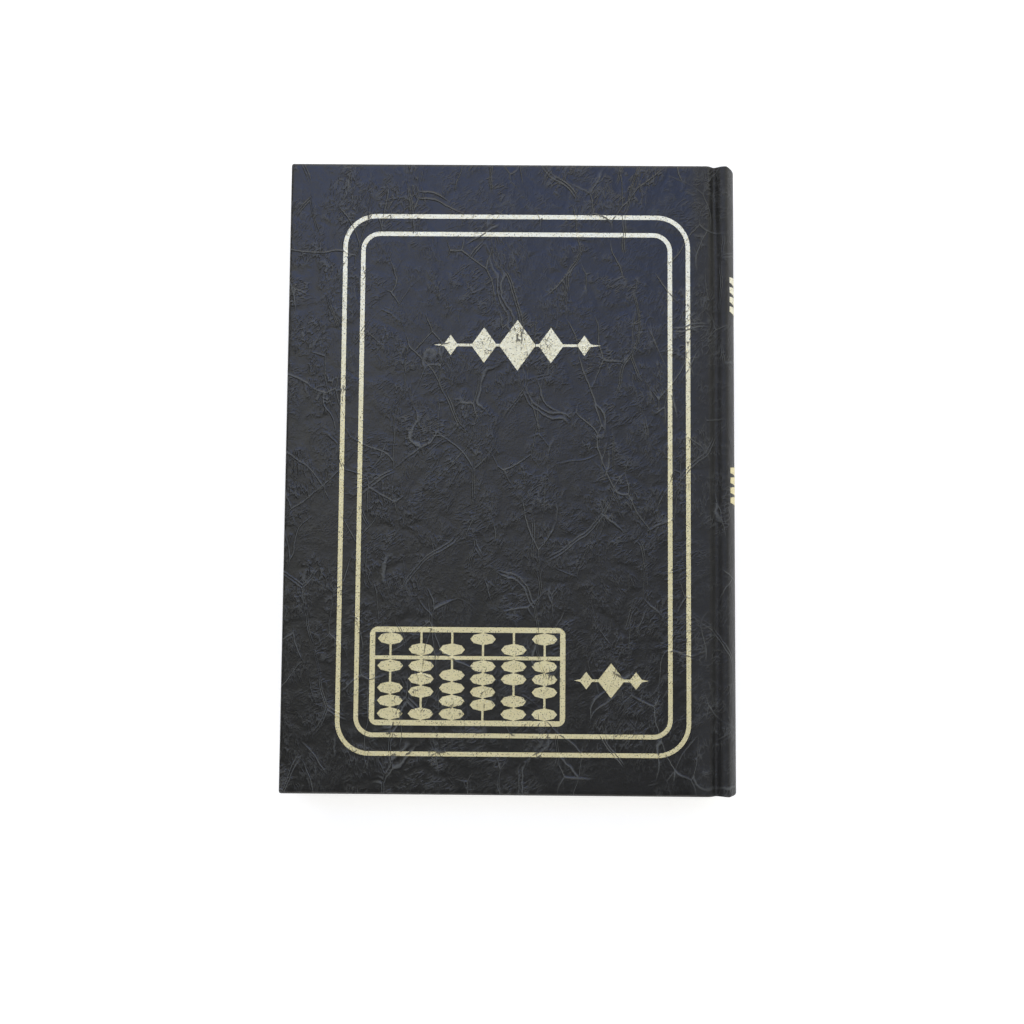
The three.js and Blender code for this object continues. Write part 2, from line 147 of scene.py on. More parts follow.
class Term:
    """A node's socket that takes part in sums. Sums on values make Math nodes, on vectors Vector Math nodes."""

    def __init__(self, graph: "Graph", socket: bpy.types.NodeSocket) -> None:
        """Keeps the socket and the graph that it is in."""
        self.graph = graph
        self.socket = socket

    @property
    def is_vector(self) -> bool:
        """True for a vector or a colour."""
        return self.socket.type in ("VECTOR", "RGBA")

    def combine(self, operation: str, other: Any, swapped: bool = False) -> "Term":
        """Makes one Math or Vector Math node.

        Args:
            operation: the node's operation
            other: a term, a number or a vector
            swapped: True if other stands first

        Returns:
            The result.
        """
        vector = self.is_vector or (isinstance(other, Term) and other.is_vector) or isinstance(other, tuple)
        if vector and isinstance(other, (int, float)):
            other = (other, other, other)
        pair = (other, self) if swapped else (self, other)
        kind = "ShaderNodeVectorMath" if vector else "ShaderNodeMath"
        return self.graph.term(kind, {"operation": operation}, {0: pair[0], 1: pair[1]})

    def __add__(self, other: Any) -> "Term":
        """self + other."""
        return self.combine("ADD", other)

    __radd__ = __add__

    def __sub__(self, other: Any) -> "Term":
        """self - other."""
        return self.combine("SUBTRACT", other)

    def __rsub__(self, other: Any) -> "Term":
        """other - self."""
        return self.combine("SUBTRACT", other, True)

    def __mul__(self, other: Any) -> "Term":
        """self * other."""
        return self.combine("MULTIPLY", other)

    __rmul__ = __mul__

    def maximum(self, other: Any) -> "Term":
        """The larger of two values."""
        return self.combine("MAXIMUM", other)

    def alone(self, operation: str) -> "Term":
        """A Math node with one input, such as SQRT or FRACT."""
        return self.graph.term("ShaderNodeMath", {"operation": operation}, {0: self})

    def size(self) -> "Term":
        """The value without its sign."""
        return self.alone("ABSOLUTE")

    def step(self, low: float, high: float) -> "Term":
        """Rises smoothly from 0 at low to 1 at high."""
        settings = {"interpolation_type": "SMOOTHSTEP"}
        return self.graph.term("ShaderNodeMapRange", settings, {"Value": self, "From Min": low, "From Max": high})

    def fall(self, low: float, high: float) -> "Term":
        """Falls smoothly from 1 at low to 0 at high."""
        return 1 - self.step(low, high)

    def at_least(self, least: float) -> "Term":
        """Squeezes a share from 0 to 1 into least to 1."""
        return self * (1 - least) + least


class Graph:
    """Adds nodes to a tree, sets them and links them."""

    def __init__(self, tree: bpy.types.NodeTree) -> None:
        """Keeps the tree."""
        self.tree = tree

    @staticmethod
    def find(sockets: Any, key: int | str) -> bpy.types.NodeSocket:
        """Finds a socket.

        Args:
            sockets: a node's inputs or outputs
            key: its place among them, or the name of one that is in use

        Returns:
            The socket.
        """
        if isinstance(key, int):
            return sockets[key]
        return next(s for s in sockets if s.enabled and s.name == key)

    def node(self, kind: str, settings: dict | None = None, values: dict | None = None) -> bpy.types.Node:
        """Makes one node.

        Args:
            kind: the node's type
            settings: its properties, which are set first
            values: numbers, terms or sockets by the name or place of the input

        Returns:
            The node.
        """
        made = self.tree.nodes.new(kind)
        for key, value in (settings or {}).items():
            setattr(made, key, value)
        for key, value in (values or {}).items():
            socket = self.find(made.inputs, key)
            if isinstance(value, Term):
                value = value.socket
            if isinstance(value, bpy.types.NodeSocket):
                self.tree.links.new(value, socket)
            else:
                socket.default_value = value
        return made

    def term(self, kind: str, settings: dict | None = None, values: dict | None = None, out: Any = None) -> Term:
        """Makes one node and returns one of its outputs, the first in use unless out names another."""
        made = self.node(kind, settings, values)
        return Term(self, next(s for s in made.outputs if s.enabled) if out is None else self.find(made.outputs, out))

    def noise(self, point: Term, size: float, detail: float = 2, out: str = "Fac", rough: float = 0.5) -> Term:
        """Noise with features of about that size, in the unit of point."""
        values = {"Vector": point, "Scale": 1 / size, "Detail": detail, "Roughness": rough}
        return self.term("ShaderNodeTexNoise", {}, values, out)

    def wander(self, point: Term, size: float, detail: float, reach: float) -> Term:
        """A push to and fro, up to half of reach each way, with turns of about that size."""
        return (self.noise(point, size, detail, "Color") - 0.5) * reach

    def cells(self, point: Term, size: float, feature: str, out: str) -> Term:
        """Cells of about that size, in the unit of point."""
        values = {"Vector": point, "Scale": 1 / size}
        return self.term("ShaderNodeTexVoronoi", {"feature": feature}, values, out)

    def cracks(self, point: Term, size: float) -> Term:
        """How far each place is from the nearest wall between cells of about that size."""
        return self.cells(point, size, "DISTANCE_TO_EDGE", "Distance") * size

    def mix(self, share: Any, first: Any, second: Any) -> Term:
        """A colour between two."""
        return self.term("ShaderNodeMix", {"data_type": "RGBA"}, {"Factor": share, "A": first, "B": second})

    def parts(self, vector: Term) -> tuple[Term, Term, Term]:
        """The three parts of a vector."""
        split = self.node("ShaderNodeSeparateXYZ", {}, {0: vector})
        return tuple(Term(self, socket) for socket in split.outputs)

    def turned(self, point: Term, degrees: float, stretch: tuple[float, float, float]) -> Term:
        """A point turned about the vertical and stretched."""
        values = {"Vector": point, "Rotation": Euler((0, 0, math.radians(degrees))), "Scale": stretch}
        return self.term("ShaderNodeMapping", {"vector_type": "POINT"}, values)


class Paint(Graph):
    """A material with one Principled shader."""

    def __init__(self, name: str, place: Place = Place.OBJECT) -> None:
        """Starts the material.

        Args:
            name: the material's name
            place: what its pattern is read from
        """
        self.material = bpy.data.materials.new(f"looks_{name}")
        self.material.use_nodes = True
        super().__init__(self.material.node_tree)
        self.tree.nodes.clear()
        self.shader = self.node("ShaderNodeBsdfPrincipled")
        self.node("ShaderNodeOutputMaterial", {}, {"Surface": self.shader.outputs[0]})
        if place is Place.REST:
            source = self.term("ShaderNodeAttribute", {"attribute_name": REST}, {}, "Vector")
        else:
            source = self.term("ShaderNodeTexCoord", {}, {}, "Object")
        self.point = source * 1000

    def set(self, **values: Any) -> None:
        """Sets or links the shader's inputs.

        Args:
            values: numbers, colours or terms by the input's name, with an underscore for a space
        """
        for key, value in values.items():
            socket = self.find(self.shader.inputs, key.replace("_", " "))
            if isinstance(value, Term):
                self.tree.links.new(value.socket, socket)
            else:
                socket.default_value = value

    def bump(self, height: Term, strength: float = 1.0) -> None:
        """Gives the surface a relief whose height is in millimetres."""
        values = {"Height": height, "Distance": metres(1), "Strength": strength}
        self.set(Normal=self.term("ShaderNodeBump", {}, values))


class Recipe(Graph):
    """A Geometry Nodes tree with named inputs."""

    def __init__(self, name: str, inputs: dict[str, str]) -> None:
        """Starts the tree.

        Args:
            name: the tree's name
            inputs: the kind of each input by its name, such as Float or Material
        """
        super().__init__(bpy.data.node_groups.new(name, "GeometryNodeTree"))
        face = self.tree.interface
        face.new_socket("Geometry", in_out="OUTPUT", socket_type="NodeSocketGeometry")
        self.names: dict[str, str] = {}
        for label, kind in inputs.items():
            socket = face.new_socket(label, in_out="INPUT", socket_type=f"NodeSocket{kind}")
            self.names[label] = socket.identifier
        self.given = self.node("NodeGroupInput").outputs

    def close(self, result: bpy.types.Node) -> None:
        """Makes a node's first output the tree's."""
        self.node("NodeGroupOutput", {}, {0: result.outputs[0]})

    def apply(self, made: bpy.types.Object, values: dict[str, Any]) -> None:
        """Gives an object the tree as a modifier.

        Args:
            made: the object
            values: the modifier's inputs by name
        """
        modifier = made.modifiers.new(self.tree.name, "NODES")
        modifier.node_group = self.tree
        for label, value in values.items():
            modifier[self.names[label]] = value


# Finishes


@dataclass(frozen=True)
class Grain:
    """The embossed grain of the leatherette, in millimetres. A bend is a size of turn, its detail and its reach."""

    net_sizes: tuple = (31.0, 19.0, 23.0)
    net_leans: tuple = (24.0, -57.0, 78.0)
    net_gaps: tuple = (0.32, 0.0, 0.0)
    net_stretch: tuple = (1, 0.5, 1)
    net_bends: tuple = ((24, 1, 10), (3.1, 2, 0.6))
    net_patch: float = 19.0
    crease_bottom: float = 0.03
    crease_width: float = 0.19
    crease_flank: float = 0.32
    crease_depth: float = 0.14
    bundle_size: float = 19.0
    bundle_edge: float = 3.5
    bundle_outline: tuple = (12, 2, 14)
    bundle_bends: tuple = ((9, 1, 4), (1.6, 2, 0.7))
    bundle_lean: float = 62.0
    bundle_spread: float = 85.0
    bundle_shifts: tuple = (0, 53)
    wrinkle_pitch: float = 1.25
    wrinkle_length: float = 4.6
    wrinkle_width: float = 0.15
    wrinkle_flank: float = 0.32
    wrinkle_depth: float = 0.15
    wrinkle_reach: float = 6.5
    wrinkle_patch: float = 3.0
    wrinkle_tone: float = 0.75
    fold_pitch: float = 3.1
    fold_length: float = 20.0
    fold_depth: float = 0.14
    pore_size: float = 0.9
    pore_depth: float = 0.055
    swell_size: float = 6.0
    swell_depth: float = 0.04
    quiet: float = 0.3

    def nets(self, paint: Paint, point: Term) -> tuple[Term, Term, Term]:
        """Makes long creases that wander and cross.

        Args:
            paint: the material
            point: where the pattern is read

        Returns:
            Their bottoms, their flanks, and how near each place is to one.
        """
        coarse, fine = self.net_bends
        bent = point + paint.wander(point, *coarse) + paint.wander(point, *fine)
        layers = None
        for place, (size, lean, gap) in enumerate(zip(self.net_sizes, self.net_leans, self.net_gaps)):
            distance = paint.cracks(paint.turned(bent + (7 * place, 3 * place, 0), lean, self.net_stretch), size)
            spread = (distance - gap).size()
            shown = paint.noise(point + (31 * place, 17 * place, 0), self.net_patch, 1).step(0.45, 0.6)
            found = (
                spread.fall(self.crease_bottom, self.crease_width) * shown,
                spread.fall(0, self.crease_flank) * shown,
                distance.fall(0, self.wrinkle_reach) * shown.at_least(self.quiet),
            )
            layers = found if layers is None else tuple(old.maximum(new) for old, new in zip(layers, found))
        return layers

    def bundles(self, paint: Paint, point: Term, shift: float) -> tuple[Term, Term, Term]:
        """Makes patches of fine wrinkles side by side, each patch its own way.

        Args:
            paint: the material
            point: where the pattern is read
            shift: how far the pattern is moved

        Returns:
            The wrinkles' bottoms, their flanks, and the soft folds that they lie on.
        """
        moved = point + (shift, -shift, 0)
        outline = moved + paint.wander(moved, *self.bundle_outline)
        red, green, _ = paint.parts(paint.cells(outline, self.bundle_size, "F1", "Color"))
        edge = paint.cracks(outline, self.bundle_size)
        coarse, fine = self.bundle_bends
        bent = moved + paint.wander(moved, *coarse) + paint.wander(moved, *fine)
        lean = (red - 0.5) * math.radians(-self.bundle_spread) + math.radians(90 - self.bundle_lean)
        turned = paint.term("ShaderNodeVectorRotate", {"rotation_type": "Z_AXIS"}, {"Vector": bent, "Angle": lean})
        distance = paint.cracks(turned * (1, self.wrinkle_pitch / self.wrinkle_length, 1), self.wrinkle_pitch)
        patch = edge.step(0, self.bundle_edge) * green.step(0.1, 0.7).at_least(self.quiet)
        shown = paint.noise(moved, self.wrinkle_patch, 2).step(0.38, 0.58) * patch
        fold = paint.noise(turned * (1, self.fold_pitch / self.fold_length, 1), self.fold_pitch, 0)
        bottoms, flanks = (distance.fall(0, width) * shown for width in (self.wrinkle_width, self.wrinkle_flank))
        return bottoms, flanks, fold * patch

    def relief(self, paint: Paint, point: Term) -> tuple[Term, Term]:
        """Joins all of the grain.

        Args:
            paint: the material
            point: where the pattern is read

        Returns:
            The grain's height, and how much each place lies in one of the creases or wrinkles.
        """
        creases, crease_flanks, nearby = self.nets(paint, point)
        first, second = (self.bundles(paint, point, shift) for shift in self.bundle_shifts)
        share = nearby.at_least(self.quiet)
        wrinkles, wrinkle_flanks = (first[place].maximum(second[place]) * share for place in (0, 1))
        pores = paint.noise(point, self.pore_size, 2, "Fac", 0.6)
        swell = paint.noise(point, self.swell_size, 2)
        height = pores * self.pore_depth + swell * self.swell_depth + crease_flanks * self.crease_depth
        height = height + wrinkle_flanks * self.wrinkle_depth + (first[2] + second[2]) * self.fold_depth
        return height, creases.maximum(wrinkles * self.wrinkle_tone)


GRAIN = Grain()


@dataclass(frozen=True)
class Leatherette:
    """Black crinkled leatherette, semi-matt, with painted highlights on its creases, rubbed a little along its edges
    and duller on the spine.
    """

    ground: tuple = (0.0050, 0.0050, 0.0050, 1)
    clouded: tuple = (0.0095, 0.0095, 0.0095, 1)
    # painted highlight: this lighter colour along the creases stands in for the light that their ridges catch
    crease_highlight: tuple = (0.1050, 0.1120, 0.1130, 1)
    rubbed: tuple = (0.0450, 0.0430, 0.0400, 1)
    rub_inside: float = 1.1
    rub_outside: float = 0.4
    spine_strip: tuple = (22, 28)
    roughness: float = 0.33
    gloss: float = 0.5
    half_sheet: float = 170.0

    def paint(self, name: str, place: Place) -> bpy.types.Material:
        """Makes the material.

        Args:
            name: its name
            place: what its pattern is read from

        Returns:
            The material.
        """
        paint = Paint(name, place)
        height, lines = GRAIN.relief(paint, paint.point)
        cloud = paint.noise(paint.point, 34, 3)
        # paints the creases and wrinkles lighter, a painted highlight
        colour = paint.mix(lines * 0.6, self.ground, self.crease_highlight)
        colour = paint.mix(cloud.step(0.42, 0.7) * 0.25, colour, self.clouded)
        across, along, _ = paint.parts(paint.point)
        end = along.size().step(BOOK.half_height - self.rub_inside, BOOK.half_height + self.rub_outside)
        off_spine = (across - (BOOK.fore + BOOK.crest + self.half_sheet)).size()
        fore = off_spine.step(self.half_sheet - self.rub_inside, self.half_sheet + self.rub_outside)
        worn = end.maximum(fore) * paint.noise(paint.point, 1.6, 3).step(0.42, 0.66)
        colour = paint.mix(worn * 0.55, colour, self.rubbed)
        matt = off_spine.fall(*self.spine_strip)
        rough = self.roughness + (paint.noise(paint.point, 5, 3) - 0.5) * 0.16 + lines * 0.08 + matt * 0.2
        paint.set(Base_Color=colour, Roughness=rough, Specular_IOR_Level=self.gloss)
        paint.bump(height)
        return paint.material


@dataclass(frozen=True)
class GoldFoil:
    """Pale gold foil, stamped into the grain, broken where the grain is deep, and painted paler towards the head as a
    painted reflection.
    """

    gold: tuple = (0.78, 0.71, 0.43, 1)
    # painted reflection: the whiter foil towards the head stands in for the bright sky that it mirrors there
    head_sheen: tuple = (0.83, 0.81, 0.66, 1)
    dull: tuple = (0.70, 0.62, 0.42, 1)
    bare: tuple = (0.0150, 0.0150, 0.0150, 1)
    head_sheen_span: tuple = (-5, 85)
    speck_size: float = 0.6
    roughness: float = 0.5

    def paint(self, name: str) -> bpy.types.Material:
        """Makes the material.

        Args:
            name: its name

        Returns:
            The material.
        """
        paint = Paint(name)
        height, lines = GRAIN.relief(paint, paint.point)
        _, along, _ = paint.parts(paint.point)
        # painted reflection: the foil is tinted paler towards the head
        tint = paint.mix(along.step(*self.head_sheen_span), self.gold, self.head_sheen)
        specks = paint.noise(paint.point, self.speck_size, 2, "Fac", 0.6).step(0.58, 0.66)
        patch = paint.noise(paint.point, 7, 2).step(0.42, 0.6)
        broken = lines.step(0.2, 0.5) * paint.noise(paint.point, 2.4, 2).step(0.42, 0.54)
        worn = (broken * 0.85).maximum(specks * patch.at_least(0.5))
        tone = paint.noise(paint.point, 1.4, 2)
        tint = paint.mix(tone.step(0.4, 0.75) * 0.35, tint, self.dull)
        paint.set(
            Base_Color=paint.mix(worn, tint, self.bare),
            Metallic=1 - worn,
            Roughness=self.roughness + tone * 0.12,
        )
        paint.bump(height, 0.6)
        return paint.material


@dataclass(frozen=True)
class LedgerPaper:
    """Ruled ledger paper. Its edges show the leaves as fine lines, with painted shade in the gaps between them."""

    white: tuple = (0.80, 0.76, 0.66, 1)
    shade: tuple = (0.54, 0.52, 0.46, 1)
    # painted shade in the gaps between the leaves on the page edges
    gap: tuple = (0.58, 0.54, 0.46, 1)
    blue: tuple = (0.30, 0.42, 0.58, 1)
    red: tuple = (0.62, 0.22, 0.20, 1)
    row_pitch: float = 7.0
    first_row: float = 88.0
    last_row: float = -101.0
    head_height: float = 12.0
    head_rule: float = 0.35
    column_rule: float = 0.3
    columns: tuple = (-150.0, -131.0, -112.0, -62.0, -46.0, -30.0)
    leaf_size: float = 0.085

    def lines(self, value: Term, places: Sequence[float], width: float) -> Term:
        """Draws lines across one direction.

        Args:
            value: the place along that direction
            places: where the lines lie
            width: how wide they are

        Returns:
            1 on a line and 0 beside it.
        """
        found = None
        for place in places:
            line = (value - place).size().fall(width / 2, width / 2 + 0.12)
            found = line if found is None else found.maximum(line)
        return found

    def paint(self, name: str) -> bpy.types.Material:
        """Makes the material.

        Args:
            name: its name

        Returns:
            The material.
        """
        paint = Paint(name, Place.REST)
        world_x, along, up = paint.parts(paint.point)
        across = world_x - BOOK.crest
        bow = ((up - BOOK.middle) * (up - BOOK.middle) * -1 + BOOK.back_radius**2).alone("SQRT")
        end = along.size().step(BOOK.leaf_half - 0.03, BOOK.leaf_half - 0.01)
        fore_edge = BOOK.spine_centre - BOOK.leaf_width
        fore = (across - bow).fall(fore_edge + 0.12, fore_edge + 0.16)
        left, right = self.columns[0], self.columns[-1]
        inside_x = across.step(left - 0.1, left)
        inside_x = inside_x * across.fall(right, right + 0.1)
        inside_y = along.step(self.last_row - 0.1, self.last_row) * along.fall(self.first_row, self.first_row + 0.1)
        row = ((along - self.last_row) * (1 / self.row_pitch)).alone("FRACT")
        rows = ((row - 0.5).size() * -1 + 0.5).fall(0.008, 0.03)
        top = self.first_row + self.head_height
        head = self.lines(along, (self.first_row, top, self.last_row), self.head_rule)
        down = self.lines(across, self.columns, self.column_rule)
        tall = inside_x * along.step(self.last_row - 0.2, self.last_row)
        tall = tall * along.fall(top, top + 0.2)
        grain = paint.noise(paint.point, 0.9, 3)
        colour = paint.mix(grain * 0.22, self.white, self.shade)
        colour = paint.mix(rows * inside_x * inside_y * 0.6, colour, self.blue)
        colour = paint.mix((head * inside_x).maximum(down * tall) * 0.7, colour, self.red)
        leaf = paint.noise(paint.point * (0.02, 0.02, 1), self.leaf_size, 2, "Fac", 0.7)
        drift = paint.noise(paint.point * (1, 1, 0.3), 14, 2)
        # painted shade: the page edges are darker in the gaps between the leaves
        edge = paint.mix(leaf.step(0.3, 0.62) * 0.55 + drift * 0.25, self.gap, self.white)
        colour = paint.mix(end.maximum(fore), colour, edge)
        paint.set(Base_Color=colour, Roughness=0.82, Specular_IOR_Level=0.25)
        paint.bump(leaf * 0.06 + grain * 0.01)
        return paint.material


@dataclass(frozen=True)
class PlainPaper:
    """Paper or board with a soft fibre in it."""

    light: tuple
    dark: tuple
    roughness: float = 0.85
    fibre: float = 0.7
    relief: float = 0.015

    def paint(self, name: str, place: Place = Place.OBJECT) -> bpy.types.Material:
        """Makes the material.

        Args:
            name: its name
            place: what its pattern is read from

        Returns:
            The material.
        """
        paint = Paint(name, place)
        fibre = paint.noise(paint.point, self.fibre, 4, "Fac", 0.65)
        cloud = paint.noise(paint.point, 22, 2)
        share = fibre.step(0.3, 0.75) * 0.6 + cloud * 0.4
        rough = self.roughness + (fibre - 0.5) * 0.1
        paint.set(Base_Color=paint.mix(share, self.dark, self.light), Roughness=rough, Specular_IOR_Level=0.25)
        paint.bump(fibre * self.relief)
        return paint.material


@dataclass(frozen=True)
class Woven:
    """Cloth or thread with a weave that follows two directions."""

    light: tuple
    dark: tuple
    pitch: float
    depth: float

    def paint(self, name: str) -> bpy.types.Material:
        """Makes the material.

        Args:
            name: its name

        Returns:
            The material.
        """
        paint = Paint(name)
        across, along, up = paint.parts(paint.point)
        turn = 2 * math.pi / self.pitch
        warp = (along * turn).alone("SINE") * 0.5 + 0.5
        weft = ((across + up) * turn).alone("SINE") * 0.5 + 0.5
        weave = warp.maximum(weft) * 0.7 + paint.noise(paint.point, 0.25, 2) * 0.3
        paint.set(Base_Color=paint.mix(weave, self.dark, self.light), Roughness=0.9)
        paint.bump(weave * self.depth)
        return paint.material


# Meshes


class Skin:
    """Gathers grids of points into one mesh with smooth faces."""

    def __init__(self) -> None:
        """Starts empty."""
        self.points: list[np.ndarray] = []
        self.rests: list[np.ndarray] = []
        self.faces: list[tuple[int, ...]] = []
        self.count = 0

    def add(self, points: np.ndarray, rest: np.ndarray | None = None, flipped: bool = False) -> None:
        """Adds a grid.

        Args:
            points: rows by columns by 3, in millimetres
            rest: the place on the flat sheet of each point; the points themselves if None
            flipped: True to turn its faces over
        """
        rows, columns = points.shape[:2]
        index = np.arange(rows * columns).reshape(rows, columns) + self.count
        corners = [index[:-1, :-1], index[:-1, 1:], index[1:, 1:], index[1:, :-1]]
        if flipped:
            corners.reverse()
        quads = np.stack([c.ravel() for c in corners], 1)
        self.faces.extend(map(tuple, quads.tolist()))
        self.points.append(points.reshape(-1, 3))
        self.rests.append((points if rest is None else rest).reshape(-1, 3))
        self.count += rows * columns

    def build(self, name: str, material: bpy.types.Material, thickness: float = 0.0) -> bpy.types.Object:
        """Makes the object.

        Args:
            name: its name
            material: its material
            thickness: how far the skin goes inwards, in millimetres; 0 leaves it as it is

        Returns:
            The object, at the origin, with its modifiers applied.
        """
        mesh = bpy.data.meshes.new(name)
        mesh.from_pydata((np.concatenate(self.points) / 1000).tolist(), [], self.faces)
        rest = mesh.attributes.new(REST, "FLOAT_VECTOR", "POINT")
        rest.data.foreach_set("vector", (np.concatenate(self.rests) / 1000).astype(np.float32).ravel())
        work = bmesh.new()
        work.from_mesh(mesh)
        bmesh.ops.remove_doubles(work, verts=work.verts, dist=metres(0.004))
        bmesh.ops.dissolve_degenerate(work, edges=work.edges, dist=metres(0.002))
        for face in work.faces:
            face.smooth = True
        work.to_mesh(mesh)
        work.free()
        mesh.materials.append(material)
        made = place_in_scene(name, mesh)
        if thickness:
            wall = made.modifiers.new("wall", "SOLIDIFY")
            wall.thickness = metres(thickness)
            wall.offset = -1
            wall.use_even_offset = False
            bake(made)
        return made


def place_in_scene(name: str, data: bpy.types.ID) -> bpy.types.Object:
    """Makes an object of a mesh or a curve.

    Args:
        name: the object's name
        data: the mesh or curve

    Returns:
        The object, at the origin.
    """
    made = bpy.data.objects.new(name, data)
    bpy.context.scene.collection.objects.link(made)
    return made


def settled_mesh(made: bpy.types.Object) -> bpy.types.Mesh:
    """Takes the mesh that an object's modifiers give.

    Args:
        made: the object

    Returns:
        A plain mesh.
    """
    bpy.context.view_layer.update()
    graph = bpy.context.evaluated_depsgraph_get()
    settled = made.evaluated_get(graph)
    return bpy.data.meshes.new_from_object(settled, preserve_all_data_layers=True, depsgraph=graph)


def bake(made: bpy.types.Object) -> None:
    """Turns an object's modifiers into its mesh.

    Args:
        made: the object
    """
    mesh = settled_mesh(made)
    made.modifiers.clear()
    made.data = mesh
    mesh.name = made.name


def join(made: bpy.types.Object, other: bpy.types.Object) -> None:
    """Moves one object's faces into another.

    Args:
        made: the object that takes them, under its first material
        other: the object that they come from, which is removed
    """
    work = bmesh.new()
    work.from_mesh(made.data)
    work.from_mesh(other.data)
    work.to_mesh(made.data)
    work.free()
    bpy.data.objects.remove(other)


def dress(name: str, material: bpy.types.Material) -> None:
    """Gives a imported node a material.

    Args:
        name: the node
        material: the material
    """
    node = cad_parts[name]
    node.data.materials.clear()
    node.data.materials.append(material)
    LOG.info("%s: packed node with %s", name, material.name)


def report(made: bpy.types.Object, bodies: str) -> None:
    """Logs a finished piece."""
    LOG.info("%s: %d faces, rides on %s", made.name, len(made.data.polygons), bodies)


# The case


@dataclass
class Case:
    """Leatherette over both boards and the spine, in two sheets that meet along the middle of the spine.

    Stops and rows are places of points. A groove's pair is its place in the soft line, and how far the pinch moves it.
    """

    edge_radius: float = 1.0
    edge_share: float = 0.34
    edge_stops: tuple = (0, 0.1, 0.25, 0.45, 0.7, 1.0)
    end_stops: tuple = (0, 0.12, 0.3, 0.55, 1.0)
    turn_in_stops: tuple = (2.0, 3.5, 6.0, 9.0, 12.0)
    turn_in_rows: tuple = (118.2, 117, 115, 112.5, 109)
    wall_stops: tuple = (0, 0.06, 0.15, 0.26, 0.4, 0.5, 0.6, 0.74, 0.85, 0.94, 1.0)
    flat_count: int = 28
    joint_count: int = 33
    spine_count: int = 30
    row_count: int = 58
    joint_from: float = -9.0
    cloth: float = 0.35
    soft_depth: float = 1.55
    groove_left: tuple = (-0.6, 0.2)
    groove_lowest: tuple = (-0.8, -0.5)
    groove_right: tuple = (-1.7, -0.5)
    wall_thins: tuple = (-7.2, -5.6)
    wall_thickens: tuple = (0.4, 2.2)
    pinch: tuple = (82.0, 112.0)
    tuck: float = 0.2
    tuck_rows: tuple = (104, 120)
    tuck_from: tuple = (-8.0, -3.6)
    tuck_to: tuple = (-2.6, 0.4)
    board_cover: float = 1.2
    turned_end: tuple = (115.2, 117.0)
    smoothing: int = 9
    smoothing_pinched: float = 0.3
    smoothing_share: float = 0.6
    smoothing_margins: tuple = (2, 8)
    evening: int = 12
    hinge_from: float = 0.9
    hinge_drop: float = 1.6
    hinge_to: float = -2.6
    board: PlainPaper = PlainPaper((0.36, 0.33, 0.28, 1), (0.20, 0.18, 0.15, 1), relief=0.04)

    def groove_line(self, across: np.ndarray, pinch: float) -> np.ndarray:
        """Finds the depth of the joint's groove, which is narrow and deep where the ends pinch it.

        Args:
            across: x
            pinch: 0 for the soft line, 1 for the pinched one

        Returns:
            The depth.
        """
        depth = self.soft_depth + (BOOK.groove_depth - self.soft_depth) * pinch
        left = -BOOK.joint + self.groove_left[0] + self.groove_left[1] * pinch
        lowest = -BOOK.groove + self.groove_lowest[0] + self.groove_lowest[1] * pinch
        right = self.groove_right[0] + self.groove_right[1] * pinch
        down = smooth_step(across, left, lowest) * depth
        rise = smooth_step(across, lowest, right) * (depth - BOOK.crest_drop)
        return down - rise

    def stations(self) -> tuple[np.ndarray, np.ndarray, np.ndarray, np.ndarray, np.ndarray]:
        """Finds places along the case's outer line, from the fore edge to the middle of the spine.

        Returns:
            How far each is from the fore edge along the sheet, its points [x, depth] in the soft and in the pinched
            line, how thick the wall is there, and its unrolled x.
        """
        edge = self.edge_radius * np.array(self.edge_stops)
        flat = np.linspace(BOOK.turn_in, self.joint_from - BOOK.fore, self.flat_count)[1:]
        across = BOOK.fore + np.concatenate([edge, [*self.turn_in_stops, BOOK.turn_in], flat])
        joint = np.linspace(self.joint_from, 0.0, self.joint_count)[1:]
        angles = np.linspace(BOOK.crest_angle, 0, self.spine_count)[1:]
        arc_x = BOOK.spine_centre + BOOK.spine_radius * np.cos(angles)
        arc_depth = BOOK.middle - BOOK.spine_radius * np.sin(angles)
        lines = []
        for pinch in (0.0, 1.0):
            line = np.concatenate([
                np.stack([across, np.zeros_like(across)], 1),
                np.stack([joint, self.groove_line(joint, pinch)], 1),
                np.stack([arc_x, arc_depth], 1),
            ])
            first, last = len(across) + self.smoothing_margins[0], len(line) - self.smoothing_margins[1]
            for _ in range(round(self.smoothing * (1 - self.smoothing_pinched * pinch))):
                middle = (line[first - 1:last - 1] + line[first + 1:last + 1]) / 2
                line[first:last] = line[first:last] * (1 - self.smoothing_share) + middle * self.smoothing_share
            lines.append(line)
        steps = np.hypot(*np.diff(lines[0], axis=0).T)
        along = np.concatenate([[0], np.cumsum(steps)])
        wall = BOOK.wall + (BOOK.joint_wall - BOOK.wall) * smooth_step(lines[0][:, 0], *self.wall_thins)
        spine_from = along[len(across) + len(joint) - 1]
        thickens = [spine_from + each for each in self.wall_thickens]
        wall = wall + (BOOK.spine_wall - BOOK.joint_wall) * smooth_step(along, *thickens)
        return along, lines[0], lines[1], wall, BOOK.fore + along

    def rounded(self, along: np.ndarray, lengthwise: np.ndarray, depth: np.ndarray, wall: np.ndarray) -> tuple:
        """Rounds the edges of a slab at the fore edge, head and tail.

        Args:
            along: distance from the fore edge
            lengthwise: y
            depth: distance from the outer face
            wall: the slab's thickness

        Returns:
            The three after rounding.
        """
        radius = np.minimum(self.edge_radius, wall * self.edge_share)
        end = BOOK.half_height - radius
        inner = np.stack([
            np.maximum(along, radius), np.clip(lengthwise, -end, end), np.clip(depth, radius, wall - radius),
        ])
        off = np.stack([along, lengthwise, depth]) - inner
        length = np.sqrt((off**2).sum(0))
        moved = inner + off * np.where(length > 1e-9, radius / np.maximum(length, 1e-9), 0)
        return tuple(moved)

